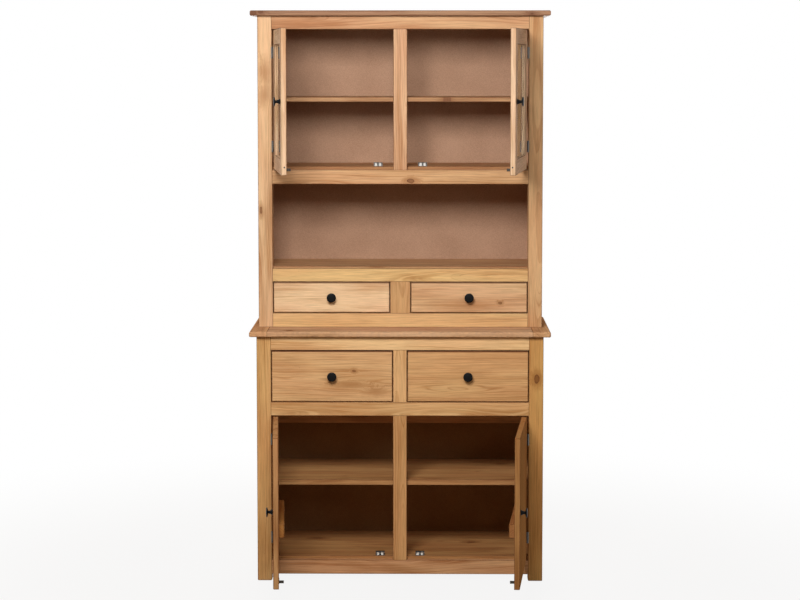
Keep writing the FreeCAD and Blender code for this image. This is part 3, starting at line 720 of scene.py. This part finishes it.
def mark_boards(node: bpy.types.Object, shut: Matrix) -> int:
    """Gives each board of a node its own place in a log, with the grain along its length.

    The board attribute is the place in the log in metres, with the grain along Z, rim the place
    between the board's faces from -1 to 1, half its half size, and pale what its colour is
    multiplied by.

    Args:
        node: the CAD node.
        shut: turns a piece from where it stands to where it is square to the dresser.

    Returns:
        How many boards there are.
    """
    mesh = node.data
    names = ("board", "rim", "half", "pale")
    for name in names:
        mesh.attributes.new(name, "FLOAT_VECTOR", "POINT")
    board, rim, half_size, paleness = (mesh.attributes[name].data for name in names)
    solids = sorted(separate_solids(mesh), key=min)
    for order, numbers in enumerate(solids):
        chance = random.Random(f"{node.name} {order}")
        places = {number: shut @ mesh.vertices[number].co for number in numbers}
        low, high = (Vector(pick(place[axis] for place in places.values()) for axis in range(3))
                     for pick in (min, max))
        half, centre = (high - low) / 2, (high + low) / 2
        thin, wide, long = sorted(range(3), key=lambda axis: half[axis])
        shift = (chance.uniform(-0.04, 0.04), chance.uniform(0.02, 0.07), chance.uniform(-9, 9))
        pale = board_tone(low, high, chance)
        for number, place in places.items():
            local = place - centre
            board[number].vector = [
                local[axis] + step for axis, step in zip((wide, thin, long), shift)]
            rim[number].vector = [local[axis] / max(half[axis], 1e-6) for axis in range(3)]
            half_size[number].vector = half
            paleness[number].vector = pale
    return len(solids)


# ---- Dressing and small pieces ----


SUNK = 0.0003  # How deep small heads reach into what they sit on


def new_object(name: str, data: bpy.types.ID) -> bpy.types.Object:
    """Args: name, data, the object's. Returns: it, in the scene."""
    item = bpy.data.objects.new(name, data)
    bpy.context.scene.collection.objects.link(item)
    return item


def to_mesh(name: str, shape: Shape) -> bpy.types.Mesh:
    """Args: name, the mesh's; shape, which is used up. Returns: the mesh."""
    mesh = bpy.data.meshes.new(name)
    shape.to_mesh(mesh)
    shape.free()
    return mesh


@dataclass
class Store:
    """Every material, made when it is first asked for, and what is dressed with them."""

    effects: Effects
    made: dict[str, Material] = field(default_factory=dict)

    def get(self, kind: Timber | Plain) -> Material:
        """Args: kind, what is wanted. Returns: its material."""
        finish = kind.value
        if finish.name not in self.made:
            self.made[finish.name] = finish.material(self.effects)
        return self.made[finish.name]

    def dress(self, name: str, kind: Timber | Plain, shut: Matrix | None = None) -> None:
        """Gives a CAD node its material.

        Args:
            name: the node's name.
            kind: what it is made of.
            shut: for boards, what squares them to the dresser.
        """
        node, material = frame["nodes"][name], self.get(kind)
        node.data.materials.clear()
        node.data.materials.append(material)
        count = mark_boards(node, shut) if shut is not None else 0
        log.info("%s: %s%s", name, material.name, f", {count} boards" if count else "")

    def add_piece(self, name: str, body: str, shape: Shape, *kinds: Plain,
                  slot: str = "hinge_steel", smooth: bool = True) -> bpy.types.Object:
        """Turns a bmesh into a piece that rides on a body.

        Args:
            name: the piece's name.
            body: the CAD body.
            shape: its geometry, which is used up.
            kinds: what it is made of, in the order of the faces' numbers.
            slot: not used.
            smooth: whether its faces are shaded smooth.

        Returns:
            The piece.
        """
        bmesh.ops.recalc_face_normals(shape, faces=shape.faces[:])
        for face in shape.faces:
            face.smooth = smooth
        piece = new_object(name, to_mesh(name, shape))
        for kind in kinds:
            piece.data.materials.append(self.get(kind))
        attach(piece, body)
        log.info("%s rides on %s, %d faces", name, body, len(piece.data.polygons))
        return piece


def stood(seat: Vector, outward: Vector) -> Matrix:
    """Args: seat, a place; outward, a direction. Returns: what stands a piece there."""
    return Matrix.Translation(seat) @ outward.to_track_quat("Z", "Y").to_matrix().to_4x4()


def turned(shape: Shape, profile: Iterable[Pair], steps: int, seat: Vector,
           outward: Vector) -> None:
    """Spins a profile and stands it on a surface.

    Args:
        shape: the bmesh to add it to.
        profile: radii and heights, from the axis to the axis.
        steps: how many steps a full turn takes.
        seat: where its axis meets the surface.
        outward: the surface's direction.
    """
    before = set(shape.verts)
    verts = [shape.verts.new((radius, 0.0, height)) for radius, height in profile]
    edges = [shape.edges.new(pair) for pair in zip(verts, verts[1:])]
    bmesh.ops.spin(shape, geom=verts + edges, cent=(0, 0, 0), axis=UP, angle=math.tau,
                   steps=steps, use_merge=True)
    bmesh.ops.remove_doubles(shape, dist=1e-7,
                             verts=[vert for vert in shape.verts if vert not in before])
    bmesh.ops.transform(shape, matrix=stood(seat, outward),
                        verts=[vert for vert in shape.verts if vert not in before])


def screw(shape: Shape, seat: Vector, outward: Vector, diameter: float,
          rise: float = 0.0002, angle: float = 0.4) -> None:
    """Adds a countersunk head with a cross recess, drawn as a dark cross on the head whose colour
    is painted shade.

    Args:
        shape: the bmesh to add it to.
        seat: where it sits.
        outward: the surface's direction.
        diameter: the head's diameter.
        rise: how far its middle stands proud.
        angle: how far the recess is turned.
    """
    radius = diameter / 2
    turned(shape, ((0.0, rise), (radius * 0.55, rise * 0.92), (radius * 0.93, rise * 0.45),
                   (radius, -SUNK), (0.0, -SUNK)), 20, seat, outward)
    # The cross recess: two thin dark bars laid on the head, painted shade
    for quarter in (0.0, math.pi / 2):
        arm = bmesh.ops.create_cube(shape, size=1.0)["verts"]
        bmesh.ops.scale(shape, vec=(diameter * 0.56, diameter * 0.13, rise), verts=arm)
        matrix = (stood(seat + outward * rise * 0.56, outward)
                  @ Matrix.Rotation(angle + quarter, 4, "Z"))
        bmesh.ops.transform(shape, matrix=matrix, verts=arm)
        for face in {face for vert in arm for face in vert.link_faces}:
            face.material_index = 1


# The turned knob, in shares of its radius and its height
KNOB_PROFILE = (
    (0.0, 0.0), (0.56, 0.0), (0.565, 0.04), (0.48, 0.16), (0.37, 0.34), (0.29, 0.52),
    (0.27, 0.63), (0.38, 0.695), (0.72, 0.745), (0.96, 0.8), (1.0, 0.85), (0.965, 0.915),
    (0.8, 0.965), (0.66, 0.98), (0.6, 0.962), (0.54, 0.978), (0.28, 0.996), (0.0, 1.0))


@dataclass
class Knob:
    """A turned mushroom knob that stands for its CAD node."""

    node: str
    body: str
    outward: Vector
    radius: float = 0.016
    height: float = 0.022

    def seat(self) -> Vector:
        """Returns: where the knob's axis meets its front, from the CAD node's own box."""
        points = [vert.co for vert in frame["nodes"][self.node].data.vertices]
        side = self.outward.cross(UP)
        lows, highs = ([pick(point.dot(way) for point in points)
                        for way in (side, self.outward, UP)] for pick in (min, max))
        return (side * (lows[0] + highs[0]) / 2 + self.outward * lows[1]
                + UP * (lows[2] + highs[2]) / 2)

    def build(self, store: Store) -> None:
        """Args: store, the materials."""
        profile = [(self.radius * out, self.height * up) for out, up in KNOB_PROFILE]
        shape = bmesh.new()
        turned(shape, profile, 32, self.seat(), self.outward)
        piece = store.add_piece(self.node + "_turned", self.body, shape, Plain.KNOB, slot="knob")
        finer = piece.modifiers.new("rounding", "SUBSURF")
        finer.levels = finer.render_levels = 1
        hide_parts(self.node)


# ---- Sub-assemblies ----


@dataclass
class Carcass:
    """The fixed frame, boards and backs of both units."""

    boards: tuple[tuple[Timber, tuple[str, ...]], ...] = (
        (Timber.HUTCH, ("hutch_front_posts", "hutch_front_rails", "hutch_centre_stiles",
                        "hutch_rear_frame")),
        (Timber.HUTCH_GLUED, ("hutch_side_panels", "hutch_niche_board", "hutch_cupboard_floor",
                              "hutch_shelf")),
        (Timber.BASE, ("base_front_posts", "base_front_rails", "base_centre_stiles",
                       "base_rear_frame", "shelf_cleats")),
        (Timber.BASE_GLUED, ("base_side_panels", "base_bottom_board", "base_shelf")),
        (Timber.COUNTER, ("counter_board", "counter_ends")),
        (Timber.TOP, ("top_board",)),
        (Timber.RAW, ("base_drawer_runners", "hutch_drawer_runners")),
    )
    backs: tuple[tuple[Plain, str], ...] = (
        (Plain.DARK_BOARD, "base_back_panel"), (Plain.HARDBOARD, "hutch_back_panel"))
    back: float = 0.396
    pin_pitch: float = 0.118
    pin_inset: float = 0.011
    pin_rise: float = 0.00012

    def build(self, store: Store) -> None:
        """Args: store, the materials."""
        for timber, names in self.boards:
            for name in names:
                store.dress(name, timber, SQUARE)
        for board, name in self.backs:
            store.dress(name, board)
            self.panel_pins(name, store)

    def panel_pins(self, node: str, store: Store) -> None:
        """Pins a hardboard back along its edges.

        Args:
            node: the back panel's node.
            store: the materials.
        """
        low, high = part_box(node)
        runs = [(low[axis] + self.pin_inset, high[axis] - self.pin_inset) for axis in (0, 2)]
        places: set[Pair] = set()
        for (start, end), edges, upright in zip(runs, reversed(runs), (False, True)):
            count = round((end - start + 2 * self.pin_inset) / self.pin_pitch)
            for step in range(count + 1):
                along = start + (end - start) * step / count
                for edge in edges:
                    x, z = (edge, along) if upright else (along, edge)
                    places.add((round(x, 5), round(z, 5)))
        shape = bmesh.new()
        for x, z in sorted(places):
            turned(shape, ((0.0, 0.0), (0.0014, 0.0), (0.0013, -SUNK), (0.0, -SUNK)), 10,
                   Vector((x, self.back + self.pin_rise, z)), BACKWARD)
        store.add_piece(node + "_pins", "root", shape, Plain.SCREW, smooth=False)


@dataclass
class Catch:
    """A double roller catch: the screws and axle heads of one unit's pair."""

    unit: str
    offset: float
    front: float
    floor: float
    height: float = 0.013
    reach: float = 0.0068
    screw_reach: float = 0.013
    inset: float = 0.0075
    plate: float = 0.001
    head: float = 0.0034

    def build(self, store: Store) -> None:
        """Args: store, the materials."""
        heads, screws = bmesh.new(), bmesh.new()
        y = self.front + self.inset
        for side in (-1, 1):
            for way in (-1, 1):
                x = side * self.offset + way * self.reach
                turned(heads, ((0.0, 0.0006), (0.0011, 0.0005), (0.0016, 0.0), (0.0016, -0.0004),
                               (0.0, -0.0004)), 16, Vector((x, y, self.floor + self.height)), UP)
                x = side * self.offset + way * self.screw_reach
                screw(screws, Vector((x, y, self.floor + self.plate)), UP, self.head, 0.0003,
                      0.3 + way * side * 0.5)
        store.add_piece(self.unit + "_catch_axle_heads", "root", heads, Plain.SCREW)
        store.add_piece(self.unit + "_catch_screws", "root", screws, Plain.SCREW, Plain.RECESS)


@dataclass
class Door:
    """What every door has: a knob, a strike, two hinges and their screws."""

    name: str
    side: int
    face: float
    hinge_levels: Pair
    board_top: float
    catch_offset: float
    pivot_x: float = 0.4275
    pivot_ahead: float = 0.0045
    half_gap: float = 0.0015
    timber: Timber = Timber.BASE_DOOR
    wood: tuple[str, ...] = ("_panel", "_batten")
    leaf: float = 0.0012
    thickness: float = 0.018
    screw_spread: float = 0.0125
    leaf_middle: float = 0.0125
    hinge_head: float = 0.005
    strike_head: float = 0.0042
    strike_head_rise: float = 0.0148

    def opened(self) -> Matrix:
        """Returns: what turns a piece from where the shut door has it to where it stands."""
        joint = next(j for j in frame["joints"] if j["child"] == self.name)
        angle = -math.radians(joint["range_deg"][0]) * joint["axis"][2]
        pivot = Vector((joint["pos_m"][0], joint["pos_m"][1], 0.0))
        return (Matrix.Translation(pivot) @ Matrix.Rotation(angle, 4, "Z")
                @ Matrix.Translation(-pivot))

    def build(self, store: Store) -> None:
        """Args: store, the materials."""
        opened = self.opened()
        shut = opened.inverted()
        outward = (opened.to_3x3() @ -BACKWARD).normalized()
        for part in self.wood:
            store.dress(self.name + part, self.timber, shut)
        self.extras(store, opened)
        store.dress(self.name + "_hinge_leaves", Plain.HINGE)
        store.dress(self.name + "_strike", Plain.CATCH)
        Knob(self.name + "_knob", self.name, outward).build(store)
        self.fixings(store, opened)

    def extras(self, store: Store, opened: Matrix) -> None:
        """Args: store, the materials; opened, what opens the shut door. Most have no extras."""

    def inner_screws(self) -> list[tuple[Vector, float]]:
        """Returns: places and diameters of screws on the inner face, with the door shut."""
        x = self.side * self.catch_offset
        y = self.face + self.thickness + self.leaf
        return [(Vector((x, y, self.board_top + self.strike_head_rise)), self.strike_head)]

    def fixings(self, store: Store, opened: Matrix) -> None:
        """Adds the screws of the hinges, the strike and the batten.

        Args:
            store: the materials.
            opened: what opens the shut door.
        """
        chance = random.Random(self.name)
        fixed, moving = bmesh.new(), bmesh.new()
        turn = opened.to_3x3()
        y = self.face - self.pivot_ahead + self.leaf_middle
        for level in self.hinge_levels:
            for way in (-1, 1):
                z = level + way * self.screw_spread
                out = Vector((self.side, 0, 0))
                reach = self.pivot_x + self.half_gap - self.leaf
                screw(fixed, Vector((self.side * reach, y, z)), -out, self.hinge_head,
                      angle=chance.uniform(0, 1.5))
                reach = self.pivot_x - self.half_gap + self.leaf
                screw(moving, opened @ Vector((self.side * reach, y, z)), turn @ out,
                      self.hinge_head, angle=chance.uniform(0, 1.5))
        for place, diameter in self.inner_screws():
            screw(moving, opened @ place, turn @ BACKWARD, diameter, 0.0003,
                  chance.uniform(0, 1.5))
        for name, body, shape in (("_post_screws", "root", fixed),
                                  ("_screws", self.name, moving)):
            store.add_piece(self.name + name, body, shape, Plain.SCREW, Plain.RECESS)


@dataclass
class PanelDoor(Door):
    """A lower door: a glued panel with a batten screwed across its inner face."""

    batten_level: float = 0.2565
    batten_thickness: float = 0.018
    batten_head: float = 0.0078
    batten_screws: tuple[Pair, ...] = ((0.075, 0.006), (0.178, -0.006), (0.28, 0.006),
                                       (0.375, -0.006))

    def inner_screws(self) -> list[tuple[Vector, float]]:
        """Returns: the strike's screw and those of the batten."""
        y = self.face + self.thickness + self.batten_thickness
        return super().inner_screws() + [
            (Vector((self.side * x, y, self.batten_level + rise)), self.batten_head)
            for x, rise in self.batten_screws]


@dataclass
class GlassDoor(Door):
    """An upper door: a frame round one pane, with a dark screw low in its free edge."""

    timber: Timber = Timber.HUTCH_DOOR
    wood: tuple[str, ...] = ("_stiles", "_rails")
    free_edge: float = 0.026
    edge_screw_depth: float = 0.0105
    edge_screw_level: float = 1.4015
    edge_head: float = 0.0058

    def extras(self, store: Store, opened: Matrix) -> None:
        """Adds the pane and the screw in the free edge.

        Args:
            store: the materials.
            opened: what opens the shut door.
        """
        shape = bmesh.new()
        place = Vector((self.side * self.free_edge, self.face + self.edge_screw_depth,
                        self.edge_screw_level))
        screw(shape, opened @ place, opened.to_3x3() @ Vector((-self.side, 0, 0)),
              self.edge_head)
        store.add_piece(self.name + "_edge_screw", self.name, shape, Plain.CATCH,
                        Plain.RECESS, slot="catch_steel")
        store.dress(self.name + "_glass", Plain.GLASS)


@dataclass
class Drawer:
    """One drawer with its front, box and knob."""

    name: str
    timber: Timber

    def build(self, store: Store) -> None:
        """Args: store, the materials."""
        store.dress(self.name + "_front", self.timber, SQUARE)
        store.dress(self.name + "_box", Timber.RAW, SQUARE)
        Knob(self.name + "_knob", self.name, -BACKWARD).build(store)


# ---- Studio ----


@dataclass(frozen=True)
class Lamp:
    """A soft rectangular lamp."""

    name: str
    place: Place
    aim: Place
    size: Pair
    power: float


@dataclass(frozen=True)
class Studio:
    """The pale floor, the lamps, the world and the camera."""

    lamps: tuple[Lamp, ...] = (
        Lamp("key", (-0.4, -2.6, 2.52), (0.0, 0.1, 1.25), (1.2, 0.95), 87.0),
        Lamp("fill", (2.4, -4.4, 2.6), (0.0, 0.1, 1.1), (1.8, 1.4), 22.0),
        Lamp("side_left", (-3.6, 1.0, 1.25), (-0.45, 0.2, 1.0), (2.0, 1.6), 46.0),
        Lamp("side_right", (3.6, 1.0, 1.25), (0.45, 0.2, 1.0), (2.0, 1.6), 27.0),
        Lamp("rear", (0.0, 4.2, 1.7), (0.0, 0.4, 0.9), (2.4, 1.6), 130.0),
    )
    ambient: Colour = (0.07, 0.045, 0.022)
    floor_colour: Colour = (0.28, 0.22, 0.16)
    lens: float = 92.37
    sensor: float = 36.0
    camera_place: Place = (0.0723, -6.765, 1.7213)
    pitch_down: float = 4.85
    turn_left: float = 0.61
    shift_up: float = -0.075
    floor_half: float = 7.0
    fade_start: float = 0.9
    fade_end: float = 2.6
    least_white: float = 0.89
    floor_drop: float = 0.0004

    def build(self) -> None:
        """Builds everything that isn't part of the dresser."""
        self.make_floor()
        self.make_world()
        for lamp in self.lamps:
            self.make_lamp(lamp)
        self.make_camera()
        bpy.context.scene.view_settings.view_transform = "Standard"

    def make_floor(self) -> None:
        """Adds the floor, which keeps the dresser's shadow and fades to white."""
        shape = bmesh.new()
        bmesh.ops.create_grid(shape, x_segments=1, y_segments=1, size=self.floor_half)
        bmesh.ops.translate(shape, vec=(0.0, 0.0, -self.floor_drop), verts=shape.verts[:])
        floor = new_object("studio_floor", to_mesh("studio_floor", shape))
        material, g, shader = new_material("pale_floor")
        g.fill(shader, {"Base Color": self.floor_colour, "Roughness": 0.8})
        white = g.add("ShaderNodeEmission", {"Strength": 1.0})
        away = g.vector("LENGTH", g.vector("MULTIPLY", g.object_place(), (1.0, 1.0, 0.0)))
        share = g.span(away, self.fade_start, self.fade_end, self.least_white, 1.0)
        mixed = g.add("ShaderNodeMixShader", {0: g.times(g.seen(), share), 1: shader.outputs[0],
                                              2: white.outputs[0]})
        output = next(n for n in material.node_tree.nodes if n.type == "OUTPUT_MATERIAL")
        g.fill(output, {"Surface": mixed.outputs[0]})
        floor.data.materials.append(material)

    def make_world(self) -> None:
        """Gives even ambient light and a white background."""
        world = bpy.data.worlds.new("studio")
        bpy.context.scene.world = world
        world.use_nodes = True
        g = Graph(world.node_tree)
        g.fill(world.node_tree.nodes["Background"],
               {"Color": g.tint(g.seen(), self.ambient, WHITE)})

    def make_lamp(self, lamp: Lamp) -> None:
        """Args: lamp, what to add."""
        data = bpy.data.lights.new(lamp.name, "AREA")
        data.shape = "RECTANGLE"
        data.size, data.size_y = lamp.size
        data.energy = lamp.power
        light = new_object(lamp.name, data)
        light.visible_camera = False
        light.location = lamp.place
        aim = Vector(lamp.aim) - Vector(lamp.place)
        light.rotation_euler = aim.to_track_quat("-Z", "Y").to_euler()

    def make_camera(self) -> None:
        """Sets up the camera where the photograph was taken from."""
        data = bpy.data.cameras.new("camera")
        data.lens = self.lens
        data.sensor_width = self.sensor
        data.shift_y = self.shift_up
        camera = new_object("camera", data)
        camera.location = self.camera_place
        camera.rotation_euler = (math.radians(90.0 - self.pitch_down), 0.0,
                                 math.radians(self.turn_left))
        bpy.context.scene.camera = camera


def main() -> None:
    """Dresses the whole dresser and sets up the studio."""
    logging.basicConfig(level=logging.INFO, format="%(name)s: %(message)s")
    store = Store(Effects())
    Carcass().build(store)
    store.dress("hinge_post_leaves", Plain.HINGE)
    store.dress("roller_catch_frames", Plain.HINGE)
    store.dress("roller_catch_rollers", Plain.NYLON)
    Catch("base", 0.067, 0.0205, 0.081).build(store)
    Catch("hutch", 0.075, 0.1265, 1.385).build(store)
    for side, word in ((-1, "left"), (1, "right")):
        PanelDoor("base_door_" + word, side, 0.0, (0.1495, 0.4805), 0.081, 0.067).build(store)
        GlassDoor("hutch_door_" + word, side, 0.106, (1.4525, 1.7645), 1.385, 0.075).build(store)
        Drawer("base_drawer_" + word, Timber.BASE_FRONT).build(store)
        Drawer("hutch_drawer_" + word, Timber.HUTCH_FRONT).build(store)
    Studio().build()


if __name__ == "__main__":
    main()
